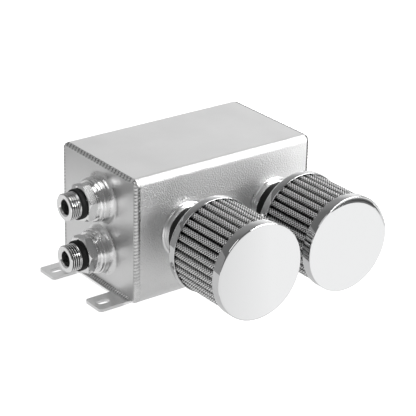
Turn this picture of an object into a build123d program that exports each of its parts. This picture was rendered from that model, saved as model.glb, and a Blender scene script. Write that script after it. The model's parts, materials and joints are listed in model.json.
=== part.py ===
from build123d import *
import os
from math import cos, radians, sin

# An oil catch can: a folded and welded aluminium tank with two screwed-in hose unions on its
# left end, two push-on breather filters on its front and four slotted feet.
# Sizes are millimetres. The origin is on the underside, midway between the four slots.
# +X runs along the tank away from the unions, -Y is the way the filters point, +Z is up.

# Folded tank sheet
TANK_LENGTH = 160.0
TANK_DEPTH = 97.0
TANK_HEIGHT = 101.2
SHEET = 2.5
BEND_INNER_R = 3.0
SEAM_GAP = 0.5
LIP = 6.4
TAB_LENGTH = 23.1
TAB_WIDTH = 21.0
TAB_CORNER_R = 3.0
TAB_ROOT_R = 1.5
SLOT_LENGTH = 11.0
SLOT_WIDTH = 6.0
SLOT_TO_TAB_END = 9.5

# End plates and their welds
PLATE = 2.5
PLATE_INSET = 1.8
PLATE_CORNER_R = 3.7
BEAD_INSET = 0.4
BEAD_BEVEL = 1.3
FOOT_BEAD = 3.0
SEAM_BEAD_R = 2.0

# Baffle plates inside the tank
BAFFLE = 2.0
BAFFLE_GAP = 0.3
BAFFLE_CORNER = 10.0
BAFFLE_PLACES = {"inlet_baffle": -58.0, "centre_baffle": 5.5}
WINDOW_ROWS = 3
WINDOW_WIDTH = 46.0
WINDOW_HEIGHT = 9.0
WINDOW_PITCH = 20.0
WINDOW_CORNER_R = 2.0

# Ports on the left end plate: bung, seal, hexagon union and outer ring
PORT_Y = -4.8
PORT_MIDDLE_Z = 51.8
PORT_SPACING = 42.4
REGISTER_PROUD = 1.5
REGISTER_GAP = 0.02
BUNG_NECK_R = 15.5
BUNG_NECK = 4.1
BUNG_COLLAR_R = 17.4
BUNG_COLLAR = 3.8
BUNG_NOSE_R = 16.6
BUNG_NOSE = 2.9
BUNG_CHAMFER = 0.8
PORT_WELD = 5.3
PORT_WELD_WAIST = 1.8
PORT_WELD_TOP = 0.9
THREAD_R = 10.4775
THREAD_GAP = 0.02
UNION_BORE_R = 5.85
UNION_SHANK = 12.0
UNION_HEX_FLATS = 27.0
UNION_HEX = 7.3
UNION_HEX_TURNS = {"upper": 45.0, "lower": 49.0}
UNION_TAIL = 13.4
UNION_CHAMFER = 0.8
UNION_GROOVE_R = 9.7
PORT_SEAL = 1.8
PORT_SEAL_R = 14.3
RING_SEAL = 4.4
RING_SEAL_R = 11.8
RING_SEAL_BEVEL = 0.7
SEAL_GAP = 0.05

# Spigots on the front that carry the filters
FILTER_MIDDLE_X = 6.1
FILTER_SPACING = 83.0
FILTER_Z = 51.5
SPIGOT_BOSS_R = 20.5
SPIGOT_BOSS = 5.5
SPIGOT_R = 17.0
SPIGOT_BORE_R = 14.5
SPIGOT_REACH = 21.5
SPIGOT_CHAMFER = 1.0
SPIGOT_REGISTER_R = 16.0
SPIGOT_WELD = 1.8

# Breather filters
NECK_GRIP_GAP = 0.05
NECK_END_GAP = 0.3
NECK_R = 21.0
NECK = 22.7
BASE_DISC = 4.0
RING_R = 37.4
RING_WIDTH = 7.0
CHROME = 0.9
CHROME_EDGE_R = 1.3
CHROME_GAP = 0.2
PLEAT_SHOWN = 45.7
CAP_WIDTH = 8.7
CAP_POTTING = 5.4
PLEAT_COUNT = 35
PLEAT_CLOTH = 1.2
PLEAT_DEPTH = 7.8
PLEAT_CROWN = 1.2
PLEAT_CREST_HALF = 2.3
PLEAT_INNER_CREST_HALF = 1.25
PLEAT_INNER_VALLEY_HALF = 0.6
SCREEN = 0.8
SCREEN_GAP = 0.2
SCREEN_WINDOWS = 6
SCREEN_BAND = 5.0
SCREEN_RIB = 6.0

# Drain in the foot of the right end plate
DRAIN_Y = 0.0
DRAIN_FOOT_GAP = 1.0
DRAIN_BUNG_R = 11.0
DRAIN_BUNG = 7.0
DRAIN_REGISTER_R = 9.0
DRAIN_THREAD_R = 7.0
DRAIN_RUNNING_GAP = 0.05
DRAIN_SHANK = 11.5
DRAIN_WELD = 2.4
DRAIN_WASHER_R = 10.0
DRAIN_WASHER = 1.5
DRAIN_WASHER_GAP = 0.2
DRAIN_HEX_FLATS = 17.0
DRAIN_HEX = 6.5
DRAIN_CHAMFER = 0.8

# Two places this close count as one
SAME_PLACE = 0.01

# Places that follow from the sizes above
HALF_LENGTH = TANK_LENGTH / 2
HALF_DEPTH = TANK_DEPTH / 2
BEND_OUTER_R = BEND_INNER_R + SHEET
FLOOR_HALF = HALF_DEPTH - BEND_OUTER_R
LIP_END = HALF_LENGTH + LIP
TAB_END = LIP_END + TAB_LENGTH
TAB_Y = FLOOR_HALF - TAB_WIDTH / 2
SLOT_X = TAB_END - SLOT_TO_TAB_END
END_FACE = HALF_LENGTH + PLATE
BUNG_LENGTH = BUNG_NECK + BUNG_COLLAR + BUNG_NOSE
HEX_BACK = BUNG_LENGTH + PORT_SEAL
HEX_FRONT = HEX_BACK + UNION_HEX
NECK_BACK = SPIGOT_BOSS + NECK_END_GAP
RING_BACK = NECK_BACK + NECK
RING_FRONT = RING_BACK + RING_WIDTH
DISC_FRONT = RING_BACK + CHROME + BASE_DISC
CAP_BACK = RING_FRONT + PLEAT_SHOWN
CAP_FRONT = CAP_BACK + CAP_WIDTH
POTTING_BACK = CAP_FRONT - CHROME - CAP_POTTING
CREST_R = RING_R - CHROME - CHROME_GAP
VALLEY_R = CREST_R - PLEAT_DEPTH
PLEAT_BORE_R = VALLEY_R - PLEAT_CLOTH
DRAIN_Z = SHEET + FOOT_BEAD + DRAIN_FOOT_GAP + DRAIN_WELD + DRAIN_BUNG_R
WASHER_BACK = DRAIN_BUNG
DRAIN_HEX_BACK = WASHER_BACK + DRAIN_WASHER

PORT_SEATS = {}
for name, z_side in (("upper", 1), ("lower", -1)):
    port_z = PORT_MIDDLE_Z + z_side * PORT_SPACING / 2
    PORT_SEATS[name] = Plane((-END_FACE, PORT_Y, port_z), x_dir=(0, 1, 0), z_dir=(-1, 0, 0))
FILTER_SEATS = {}
for name, x_side in (("left", -1), ("right", 1)):
    filter_x = FILTER_MIDDLE_X + x_side * FILTER_SPACING / 2
    FILTER_SEATS[name] = Plane((filter_x, -HALF_DEPTH, FILTER_Z), x_dir=(1, 0, 0), z_dir=(0, -1, 0))
DRAIN_SEAT = Plane((END_FACE, DRAIN_Y, DRAIN_Z), x_dir=(0, 1, 0), z_dir=(1, 0, 0))


# Shared shapes

def turned(*profile):
    """Solid of revolution about Z from a closed profile of (height, radius) points."""
    outline = Polyline(*[(radius, height) for height, radius in profile], close=True)
    return revolve(Plane.XZ * make_face(outline), Axis.Z)


def tube(outer_r, inner_r, bottom, top):
    """Plain tube about Z."""
    return turned((bottom, inner_r), (bottom, outer_r), (top, outer_r), (top, inner_r))


def rod(radius, bottom, top):
    """Plain cylinder about Z."""
    return turned((bottom, 0), (bottom, radius), (top, radius), (top, 0))


def seated(seat, solid):
    """The solid moved so that its Z axis leaves the tank at the seat."""
    return seat.location * solid


def drill(seat, radius):
    """Straight cutter through the sheet that a seat lies on, from outside and inside."""
    reach = SHEET + PLATE
    return seated(seat, rod(radius, -reach, reach))


def hexagon(flats, bottom, top, turn):
    """Hexagon bar about Z whose corners are turned off at 30 degrees on both faces."""
    height = top - bottom
    corner_r = flats / 2 / cos(radians(30))
    bevel = (corner_r - flats / 2) * sin(radians(30)) / cos(radians(30))
    bar = Pos(0, 0, bottom) * Rot(0, 0, turn) * extrude(RegularPolygon(corner_r, 6), height)
    blank = turned(
        (bottom, 0),
        (bottom, flats / 2),
        (bottom + bevel, corner_r),
        (top - bevel, corner_r),
        (top, flats / 2),
        (top, 0),
    )
    return bar & blank


# Tank body

def wrap_section():
    """Section of the folded sheet in the YZ plane: floor, front, top and back in one strip."""
    floor_end = HALF_DEPTH - SHEET - SEAM_GAP
    outer = FilletPolyline(
        (floor_end, 0),
        (-HALF_DEPTH, 0),
        (-HALF_DEPTH, TANK_HEIGHT),
        (HALF_DEPTH, TANK_HEIGHT),
        (HALF_DEPTH, SHEET),
        radius=BEND_OUTER_R,
    )
    inner = FilletPolyline(
        (HALF_DEPTH - SHEET, SHEET),
        (HALF_DEPTH - SHEET, TANK_HEIGHT - SHEET),
        (-HALF_DEPTH + SHEET, TANK_HEIGHT - SHEET),
        (-HALF_DEPTH + SHEET, SHEET),
        (floor_end, SHEET),
        radius=BEND_INNER_R,
    )
    back_edge = Line((HALF_DEPTH, SHEET), (HALF_DEPTH - SHEET, SHEET))
    floor_edge = Line((floor_end, SHEET), (floor_end, 0))
    return Plane.YZ * make_face([*outer.edges(), back_edge, *inner.edges(), floor_edge])


def floor_panel():
    """Flat floor with its lips and the four slotted feet."""
    outline = Rectangle(2 * LIP_END, 2 * FLOOR_HALF)
    for x_side in (-1, 1):
        for y_side in (-1, 1):
            foot_x = x_side * (LIP_END + TAB_LENGTH / 2)
            outline += Pos(foot_x, y_side * TAB_Y) * Rectangle(TAB_LENGTH, TAB_WIDTH)
    corners = outline.vertices().filter_by(lambda v: abs(abs(v.X) - TAB_END) < SAME_PLACE)
    outline = fillet(corners, TAB_CORNER_R)
    roots = outline.vertices().filter_by(lambda v: abs(abs(v.X) - LIP_END) < SAME_PLACE)
    inner_roots = roots.filter_by(lambda v: abs(v.Y) < TAB_Y)
    outline = fillet(inner_roots, TAB_ROOT_R)
    for x_side in (-1, 1):
        for y_side in (-1, 1):
            outline -= Pos(x_side * SLOT_X, y_side * TAB_Y) * SlotOverall(SLOT_LENGTH, SLOT_WIDTH)
    return extrude(outline, SHEET)


def tank_wrap():
    """Folded sheet with the floor panel and the two spigot holes in its front."""
    wrap = Pos(-HALF_LENGTH, 0, 0) * extrude(wrap_section(), TANK_LENGTH)
    wrap += floor_panel()
    for seat in FILTER_SEATS.values():
        wrap -= drill(seat, SPIGOT_REGISTER_R + REGISTER_GAP)
    return wrap


def plate_outline(inset, bottom, corner_r):
    """Rounded outline in the YZ plane, set in from the outside of the tank."""
    width = TANK_DEPTH - 2 * inset
    height = TANK_HEIGHT - inset - bottom
    return Plane.YZ * (Pos(0, bottom + height / 2) * RectangleRounded(width, height, corner_r))


def end_plate(side, seats, hole_r):
    """End plate that closes one end of the wrap and stands on the floor's lip."""
    plate = Pos(HALF_LENGTH, 0, 0) * extrude(plate_outline(PLATE_INSET, SHEET, PLATE_CORNER_R), PLATE)
    if side < 0:
        plate = mirror(plate, Plane.YZ)
    for seat in seats:
        plate -= drill(seat, hole_r)
    return plate


def end_weld(side):
    """Corner bead that fills the step between the end plate's rim and the wrap's end."""
    bead = extrude(plate_outline(BEAD_INSET, BEAD_INSET, BEND_OUTER_R - BEAD_INSET), PLATE)
    rim = bead.faces().sort_by(Axis.X)[-1].outer_wire()
    bead = chamfer(rim.edges(), BEAD_BEVEL)
    bead -= extrude(plate_outline(PLATE_INSET, SHEET, PLATE_CORNER_R), PLATE)
    bead -= Pos(PLATE / 2, 0, SHEET / 2) * Box(PLATE, 2 * FLOOR_HALF, SHEET)
    bead = Pos(HALF_LENGTH, 0, 0) * bead
    return mirror(bead, Plane.YZ) if side < 0 else bead


def foot_weld(side):
    """Fillet bead between the end plate's foot and the lip of the floor."""
    section = Polyline((0, 0), (FOOT_BEAD, 0), (0, FOOT_BEAD), close=True)
    bead = extrude(Plane.XZ * make_face(section), FLOOR_HALF, both=True)
    bead = Pos(END_FACE, 0, SHEET) * bead
    return mirror(bead, Plane.YZ) if side < 0 else bead


def rear_seam_weld():
    """Long bead in the open corner where the back panel meets the floor."""
    floor_end = HALF_DEPTH - SHEET - SEAM_GAP
    width = HALF_DEPTH - floor_end
    section = Pos(floor_end + width / 2, SHEET / 2) * Rectangle(width, SHEET)
    outer_corner = section.vertices().sort_by(Axis.X)[-2:].sort_by(Axis.Y)[0]
    section = fillet(outer_corner, SEAM_BEAD_R)
    return extrude(Plane.YZ * section, HALF_LENGTH, both=True)


def baffle(x):
    """Cross plate with cut corners and a column of windows, standing on the tank floor."""
    width = TANK_DEPTH - 2 * SHEET - 2 * BAFFLE_GAP
    height = TANK_HEIGHT - 2 * SHEET - BAFFLE_GAP
    sheet = Rectangle(width, height)
    sheet = chamfer(sheet.vertices(), BAFFLE_CORNER)
    for row in range(WINDOW_ROWS):
        rise = (row - (WINDOW_ROWS - 1) / 2) * WINDOW_PITCH
        sheet -= Pos(0, rise) * RectangleRounded(WINDOW_WIDTH, WINDOW_HEIGHT, WINDOW_CORNER_R)
    plate = extrude(Plane.YZ * sheet, BAFFLE / 2, both=True)
    return Pos(x, 0, SHEET + height / 2) * plate


# Ports

def port_bung():
    """Turned weld bung: register in the plate, neck, collar and bevelled nose, tapped through."""
    bore_r = THREAD_R + THREAD_GAP
    inside = -(PLATE + REGISTER_PROUD)
    collar_front = BUNG_NECK + BUNG_COLLAR
    return turned(
        (inside, bore_r),
        (inside, BUNG_NECK_R),
        (BUNG_NECK, BUNG_NECK_R),
        (BUNG_NECK, BUNG_COLLAR_R),
        (collar_front, BUNG_COLLAR_R),
        (collar_front, BUNG_NOSE_R),
        (BUNG_LENGTH - BUNG_CHAMFER, BUNG_NOSE_R),
        (BUNG_LENGTH, BUNG_NOSE_R - BUNG_CHAMFER),
        (BUNG_LENGTH, bore_r),
    )


def port_weld():
    """Hollow fillet bead that flares from the bung's neck on to the end plate."""
    inner_r = BUNG_NECK_R + REGISTER_GAP
    return turned(
        (0, inner_r),
        (0, BUNG_NECK_R + PORT_WELD),
        (PORT_WELD_WAIST, BUNG_NECK_R + PORT_WELD_WAIST),
        (BUNG_NECK, BUNG_NECK_R + PORT_WELD_TOP),
        (BUNG_NECK, inner_r),
    )


def port_union(turn):
    """Hexagon union, screwed into the bung, with a grooved and bevelled hose thread outside."""
    shank_end = BUNG_LENGTH - UNION_SHANK
    tip = HEX_FRONT + UNION_TAIL
    groove_end = HEX_FRONT + RING_SEAL
    body = turned(
        (shank_end, 0),
        (shank_end, THREAD_R - UNION_CHAMFER),
        (shank_end + UNION_CHAMFER, THREAD_R),
        (HEX_BACK, THREAD_R),
        (HEX_FRONT, THREAD_R),
        (HEX_FRONT, UNION_GROOVE_R),
        (groove_end, UNION_GROOVE_R),
        (groove_end, THREAD_R),
        (tip - UNION_CHAMFER, THREAD_R),
        (tip, THREAD_R - UNION_CHAMFER),
        (tip, 0),
    )
    body += hexagon(UNION_HEX_FLATS, HEX_BACK, HEX_FRONT, turn)
    return body - rod(UNION_BORE_R, shank_end, tip)


def port_seal():
    """Flat bonded seal between the bung's nose and the hexagon."""
    return tube(PORT_SEAL_R, THREAD_R + SEAL_GAP, BUNG_LENGTH, HEX_BACK)


def ring_seal():
    """Bevelled rubber ring in the groove behind the hose thread."""
    inner_r = UNION_GROOVE_R + SEAL_GAP
    front = HEX_FRONT + RING_SEAL
    return turned(
        (HEX_FRONT, inner_r),
        (HEX_FRONT, RING_SEAL_R - RING_SEAL_BEVEL),
        (HEX_FRONT + RING_SEAL_BEVEL, RING_SEAL_R),
        (front - RING_SEAL_BEVEL, RING_SEAL_R),
        (front, RING_SEAL_R - RING_SEAL_BEVEL),
        (front, inner_r),
    )


# Spigots

def filter_spigot():
    """Turned spigot: register in the tank front, boss and a bevelled tube for the rubber neck."""
    inside = -(SHEET + REGISTER_PROUD)
    end = SPIGOT_BOSS + SPIGOT_REACH
    return turned(
        (inside, SPIGOT_BORE_R),
        (inside, SPIGOT_REGISTER_R),
        (0, SPIGOT_REGISTER_R),
        (0, SPIGOT_BOSS_R),
        (SPIGOT_BOSS, SPIGOT_BOSS_R),
        (SPIGOT_BOSS, SPIGOT_R),
        (end - SPIGOT_CHAMFER, SPIGOT_R),
        (end, SPIGOT_R - SPIGOT_CHAMFER),
        (end, SPIGOT_BORE_R),
    )


def round_weld(inner_r, leg):
    """Fillet bead round a boss."""
    return turned((0, inner_r), (0, inner_r + leg), (leg, inner_r))


# Breather filters

def filter_neck():
    """Rubber neck moulded in one with the disc that holds the pleats at the base."""
    inner_r = SPIGOT_R + NECK_GRIP_GAP
    disc_r = RING_R - CHROME - CHROME_GAP
    disc_back = RING_BACK + CHROME
    return turned(
        (NECK_BACK, inner_r),
        (NECK_BACK, NECK_R),
        (disc_back, NECK_R),
        (disc_back, disc_r),
        (DISC_FRONT, disc_r),
        (DISC_FRONT, inner_r),
    )


def cup(edge_at, rim_at, hole_r):
    """Pressed cup with a rounded edge; hole_r opens its floor, or is 0 for a closed one."""
    step = 1 if rim_at > edge_at else -1
    outline = rod(RING_R, edge_at, rim_at)
    edge = outline.edges().filter_by(GeomType.CIRCLE).sort_by(lambda e: abs(e.center().Z - edge_at))[0]
    outline = fillet(edge, CHROME_EDGE_R)
    outline -= rod(RING_R - CHROME, edge_at + step * CHROME, rim_at)
    if hole_r:
        outline -= rod(hole_r, edge_at, edge_at + step * CHROME)
    return outline


def base_ring():
    """Chrome cup round the filter's base, open for the neck."""
    return cup(RING_BACK, RING_FRONT, NECK_R + CHROME_GAP)


def end_cap():
    """Chrome cup over the filter's outer end."""
    return cup(CAP_FRONT, CAP_BACK, 0)


def polar(radius, angle):
    """Point in the plane of the pleats, with the angle in radians."""
    return (radius * cos(angle), radius * sin(angle))


def pleat_outside(middle):
    """Crown arc and two flanks of one pleat, as seen from outside."""
    half_pitch = radians(180 / PLEAT_COUNT)
    shoulder_r = CREST_R - PLEAT_CROWN
    crest_half = PLEAT_CREST_HALF / shoulder_r
    valley_before = polar(VALLEY_R, middle - half_pitch)
    shoulder_before = polar(shoulder_r, middle - crest_half)
    crown = polar(CREST_R, middle)
    shoulder_after = polar(shoulder_r, middle + crest_half)
    valley_after = polar(VALLEY_R, middle + half_pitch)
    return [
        Line(valley_before, shoulder_before),
        ThreePointArc(shoulder_before, crown, shoulder_after),
        Line(shoulder_after, valley_after),
    ]


def pleat_inside(middle):
    """Points of the same pleat on the clean side of the cloth."""
    half_pitch = radians(180 / PLEAT_COUNT)
    crest_r = CREST_R - PLEAT_CROWN - PLEAT_CLOTH
    crest_half = PLEAT_INNER_CREST_HALF / crest_r
    valley_half = half_pitch - PLEAT_INNER_VALLEY_HALF / PLEAT_BORE_R
    return [
        polar(PLEAT_BORE_R, middle - valley_half),
        polar(crest_r, middle - crest_half),
        polar(crest_r, middle + crest_half),
        polar(PLEAT_BORE_R, middle + valley_half),
    ]


def pleated_element():
    """Band of pleated cloth, folded all the way round between the base disc and the cap."""
    middles = [radians(360 * count / PLEAT_COUNT) for count in range(PLEAT_COUNT)]
    outside = [edge for middle in middles for edge in pleat_outside(middle)]
    inside = Polyline(*[point for middle in middles for point in pleat_inside(middle)], close=True)
    band = make_face(outside) - make_face(inside)
    return Pos(0, 0, DISC_FRONT) * extrude(band, POTTING_BACK - DISC_FRONT)


def inner_screen():
    """Metal sleeve with long windows that keeps the pleats from being drawn in."""
    outer_r = PLEAT_BORE_R * cos(radians(180 / PLEAT_COUNT)) - SCREEN_GAP
    sleeve = tube(outer_r, outer_r - SCREEN, DISC_FRONT, POTTING_BACK)
    window_length = POTTING_BACK - DISC_FRONT - 2 * SCREEN_BAND
    gap = radians(360 / SCREEN_WINDOWS) * outer_r - SCREEN_RIB
    window = Pos(outer_r, 0, (DISC_FRONT + POTTING_BACK) / 2) * Box(outer_r, gap, window_length)
    for count in range(SCREEN_WINDOWS):
        sleeve -= Rot(0, 0, 360 * count / SCREEN_WINDOWS) * window
    return sleeve


def end_potting():
    """Moulded disc that holds the pleats inside the end cap."""
    return rod(CREST_R - CHROME_EDGE_R, POTTING_BACK, CAP_FRONT - CHROME)


# Drain

def drain_bung():
    """Small tapped weld bung low in the right end plate."""
    bore_r = DRAIN_THREAD_R + DRAIN_RUNNING_GAP
    inside = -(PLATE + REGISTER_PROUD)
    return turned(
        (inside, bore_r),
        (inside, DRAIN_REGISTER_R),
        (0, DRAIN_REGISTER_R),
        (0, DRAIN_BUNG_R),
        (DRAIN_BUNG, DRAIN_BUNG_R),
        (DRAIN_BUNG, bore_r),
    )


def drain_washer():
    """Soft sealing washer under the plug's head."""
    return tube(DRAIN_WASHER_R, DRAIN_THREAD_R + DRAIN_WASHER_GAP, WASHER_BACK, DRAIN_HEX_BACK)


def drain_plug():
    """Hexagon-headed drain screw."""
    shank_end = DRAIN_HEX_BACK - DRAIN_SHANK
    shank = turned(
        (shank_end, 0),
        (shank_end, DRAIN_THREAD_R - DRAIN_CHAMFER),
        (shank_end + DRAIN_CHAMFER, DRAIN_THREAD_R),
        (DRAIN_HEX_BACK, DRAIN_THREAD_R),
        (DRAIN_HEX_BACK, 0),
    )
    return shank + hexagon(DRAIN_HEX_FLATS, DRAIN_HEX_BACK, DRAIN_HEX_BACK + DRAIN_HEX, 0)


# Assembly

def tank_parts():
    """The tank's sheet parts, welds and baffles, by node name."""
    port_hole_r = BUNG_NECK_R + REGISTER_GAP
    drain_hole_r = DRAIN_REGISTER_R + REGISTER_GAP
    parts = {
        "tank_wrap": tank_wrap(),
        "left_end_plate": end_plate(-1, PORT_SEATS.values(), port_hole_r),
        "right_end_plate": end_plate(1, [DRAIN_SEAT], drain_hole_r),
        "left_end_weld": end_weld(-1),
        "right_end_weld": end_weld(1),
        "left_foot_weld": foot_weld(-1),
        "right_foot_weld": foot_weld(1),
        "rear_seam_weld": rear_seam_weld(),
    }
    for name, x in BAFFLE_PLACES.items():
        parts[name] = baffle(x)
    return parts


def port_parts():
    """Both ports, piece by piece."""
    parts = {}
    for name, seat in PORT_SEATS.items():
        parts[f"{name}_port_bung"] = seated(seat, port_bung())
        parts[f"{name}_port_weld"] = seated(seat, port_weld())
        parts[f"{name}_port_seal"] = seated(seat, port_seal())
        parts[f"{name}_port_union"] = seated(seat, port_union(-UNION_HEX_TURNS[name]))
        parts[f"{name}_port_ring"] = seated(seat, ring_seal())
    return parts


def filter_parts():
    """Both spigots and both breather filters, piece by piece."""
    parts = {}
    for name, seat in FILTER_SEATS.items():
        parts[f"{name}_spigot"] = seated(seat, filter_spigot())
        parts[f"{name}_spigot_weld"] = seated(seat, round_weld(SPIGOT_BOSS_R + REGISTER_GAP, SPIGOT_WELD))
        parts[f"{name}_filter_neck"] = seated(seat, filter_neck())
        parts[f"{name}_filter_base_ring"] = seated(seat, base_ring())
        parts[f"{name}_filter_pleats"] = seated(seat, pleated_element())
        parts[f"{name}_filter_screen"] = seated(seat, inner_screen())
        parts[f"{name}_filter_potting"] = seated(seat, end_potting())
        parts[f"{name}_filter_cap"] = seated(seat, end_cap())
    return parts


def drain_parts():
    """Drain bung, its weld, the washer and the plug."""
    return {
        "drain_bung": seated(DRAIN_SEAT, drain_bung()),
        "drain_bung_weld": seated(DRAIN_SEAT, round_weld(DRAIN_BUNG_R + REGISTER_GAP, DRAIN_WELD)),
        "drain_washer": seated(DRAIN_SEAT, drain_washer()),
        "drain_plug": seated(DRAIN_SEAT, drain_plug()),
    }


os.makedirs("parts", exist_ok=True)
for parts in (tank_parts(), port_parts(), filter_parts(), drain_parts()):
    for name, shape in parts.items():
        export_step(shape, f"parts/{name}.step")
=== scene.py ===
import json
from math import atan2, cos, hypot, pi, radians, sin, tan

import bmesh
import bpy
import numpy as np
from mathutils import Matrix, Vector


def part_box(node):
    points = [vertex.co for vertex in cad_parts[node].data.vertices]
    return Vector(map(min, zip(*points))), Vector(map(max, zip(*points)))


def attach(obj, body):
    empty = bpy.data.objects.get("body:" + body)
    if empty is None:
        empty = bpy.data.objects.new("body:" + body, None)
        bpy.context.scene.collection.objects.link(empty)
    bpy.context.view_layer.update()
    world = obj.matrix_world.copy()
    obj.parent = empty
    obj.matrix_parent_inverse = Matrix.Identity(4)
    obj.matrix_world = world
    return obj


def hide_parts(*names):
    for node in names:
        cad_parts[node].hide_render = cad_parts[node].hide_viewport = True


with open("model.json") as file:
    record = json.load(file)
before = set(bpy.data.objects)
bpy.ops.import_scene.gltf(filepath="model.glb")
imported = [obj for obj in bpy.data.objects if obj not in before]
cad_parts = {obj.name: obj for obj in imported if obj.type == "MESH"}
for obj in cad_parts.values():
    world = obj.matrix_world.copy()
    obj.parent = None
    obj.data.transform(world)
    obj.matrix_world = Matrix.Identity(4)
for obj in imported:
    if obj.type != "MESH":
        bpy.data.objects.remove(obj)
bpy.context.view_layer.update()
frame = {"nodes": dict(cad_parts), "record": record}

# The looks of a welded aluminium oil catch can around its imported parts. All lengths are metres.
MM = 0.001

# The tank's ends: name and direction along X
SIDES = (("left", -1), ("right", 1))

# Camera: the photograph's view, aimed at the middle of the tank
CAMERA_TURN = radians(-37.509)
CAMERA_RISE = radians(24.003)
CAMERA_ROLL = radians(1.391)
CAMERA_DISTANCE = 1311.3 * MM
CAMERA_SLIDE = 17.16 * MM
CAMERA_LIFT = -8.04 * MM
CAMERA_TARGET = Vector((0, 0, 50.8 * MM))
CAMERA_LENS = 144.75
CAMERA_NEAR = 0.05
CAMERA_FAR = 50
SENSOR = 36.0

# Studio floor: one for the camera, and a brighter one that only reflections show
FLOOR_HALF = 3.0
FLOOR_DROP = 0.1 * MM
FLOOR_WHITE = 0.5
DULL_WHITE = 0.1
FLOOR_GLOW = 1.0
MATT_ROUGH = 0.9
MIRRORED_DROP = 0.75 * FLOOR_DROP
MIRRORED_GLOW = 1.27

# The mirrored floor dims against this direction, a painted darker reflection where the left cap's
# outer side looks
DIM_ACROSS = (1.0, 0.767, 0.0)
DIM_START = -0.185
DIM_END = -0.125
DIM_GLOW = 1.06

# Greyer patches of the mirrored floor, painted shade that only reflections show: name, span along
# X, span along Y, glow
PATCH_DROP = FLOOR_DROP / 2
FLOOR_PATCHES = (
    ("floor_by_ports", (-0.60, -0.088), (-0.10, 0.60), 0.68),
    ("floor_under_filters", (-0.11, 0.12), (-0.15, -0.045), 0.66),
    ("floor_behind", (-0.087, 1.60), (0.05, 2.00), 0.78),
    ("floor_at_right", (0.23, 1.60), (-1.20, 0.049), 0.82),
)

# Dark card beyond the ports, seen only in reflections: a painted dark reflection
CARD_TOWARDS = (-0.685, 0.725, 0)
CARD_DISTANCE = 0.306
CARD_HALF = 0.45
CARD_HEIGHT = 0.216
CARD_GLOW = 0.21

# Sky: glow by the angle in degrees off its brightest direction
SKY_AIM = (0.686, 0.727, 0.0)
SKY_TOP = 1.5
SKY_WIDEST = 90
SKY_STOPS = (
    (0, 1.12), (15, 1.10), (21, 0.87), (26, 0.78), (32, 0.56),
    (40, 0.38), (50, 0.33), (60, 0.27), (68, 0.20), (90, 0.17),
)

# Softboxes: name, direction, width, height, power in watts
SOFTBOX_AWAY = 1.2
SOFTBOXES = (
    ("key_softbox", (0.556, -0.06, 0.83), 0.8, 0.60, 5),
    ("front_softbox", (0.556, -0.72, 0.47), 0.8, 0.54, 12),
    ("left_softbox", (-0.58, 0.02, 0.80), 0.6, 0.6, 2.2),
)

# Shared by the finishes: where noise mostly lies, and a faint bump
NOISE_LOW = 0.3
NOISE_HIGH = 0.7
FAINT_BUMP = 0.01 * MM

# Sheet finish; the wrap's front is rougher and sandier than its other faces, and darker by painted
# shade
PLAIN_SHADE = (0.73, 0.79)
PLAIN_GRAIN = 0.03 * MM
WRAP_SHADE = (0.79, 0.85)
WRAP_GRAIN = 0.55 * MM
SHEET_CLOUD = 45 * MM
SHEET_GRAIN = 1.1 * MM
SHEET_ROUGH = (0.30, 0.38)
FRONT_ROUGHER = 0.13
# Painted shade: brightness share of the wrap's faces towards the front
FRONT_PAINTED_SHADE = 0.95

# Turned bar finish
TURNED_SHADE = (0.84, 0.90)
TURNED_STAIN = 8 * MM
TURNED_ROUGH = (0.14, 0.20)
TURNING_LINE = 0.35 * MM
TURNING_LINE_DEPTH = 0.002 * MM
TURNING_STRETCH = (0.02, 1.0, 1.0)
# Painted shade in the thread roots: brightness there falls to this share
THREAD_ROOT_PAINTED_SHADE = 0.10

# Weld finish
BEAD_SHADE = (0.62, 0.78)
BEAD_TINT = 5 * MM
BEAD_ROUGH = (0.22, 0.42)
BEAD_PIT = 0.7 * MM
BEAD_PIT_DEPTH = 0.02 * MM
# Painted shade in the beads' ripple valleys: brightness there falls to this share
BEAD_VALLEY_PAINTED_SHADE = 0.20
BRUSHED_SHADE = (0.76, 0.86)
BRUSHED_TINT = 6 * MM
BRUSHED_ROUGH = (0.24, 0.34)
BRUSHED_DENT = 1.2 * MM

# Chrome, rubber and steel finish
CHROME_COLOUR = (0.665, 0.668, 0.671, 1)
CHROME_HAZE = 12 * MM
CHROME_ROUGH = (0.03, 0.075)
CHROME_DENT = 30 * MM
RUBBER_GLOSS = 0.25
RUBBER_SHADE = (0.004, 0.010)
RUBBER_DUST = 3 * MM
RUBBER_ROUGH = (0.45, 0.62)
RUBBER_PORE = 0.25 * MM
STEEL_STAIN = 6 * MM
STEEL_ROUGHER = 0.12
STEEL_GRAIN = 0.5 * MM

# Filter cloth and the wire gauze over it
GAUZE_PITCH = 2.45 * MM
GAUZE_DEPTH = 0.12 * MM
WIRE_EDGE = (0.45, 0.75)
WIRE_SHADE = (0.80, 1.0)
WIRE_METALLIC = 0.7
WIRE_ROUGH = 0.42
CLOTH_SHADE = (0.02, 0.06)
CLOTH_FUZZ = 0.6 * MM
CLOTH_ROUGH = 0.85
# Painted shade in the pleats' folds: from this depth on, brightness falls to the share below
FOLD_SHADE_START = 0.10
FOLD_PAINTED_SHADE = 0.12

# Mesh fineness
ROUND_STEPS = 4
LONGEST_CUT = 0.49
HEX_STEPS = 14
THREAD_STEPS = 12
FLARE_STEPS = 10
CROWN_STEPS = 12
RIM_STEPS = 12
PLEAT_LEVELS = 24
TURNED_SEGMENTS = 144
CHROME_SEGMENTS = 288
BEAD_STEP = 0.3 * MM
BEAD_SIDES = 16
SHARP_ANGLE = radians(35)
SAME_POINT = 1e-7

# Radii that soften an edge
FINE_EDGE = 0.3 * MM
TURNED_EDGE = 0.35 * MM
SOFT_EDGE = 0.4 * MM

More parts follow.
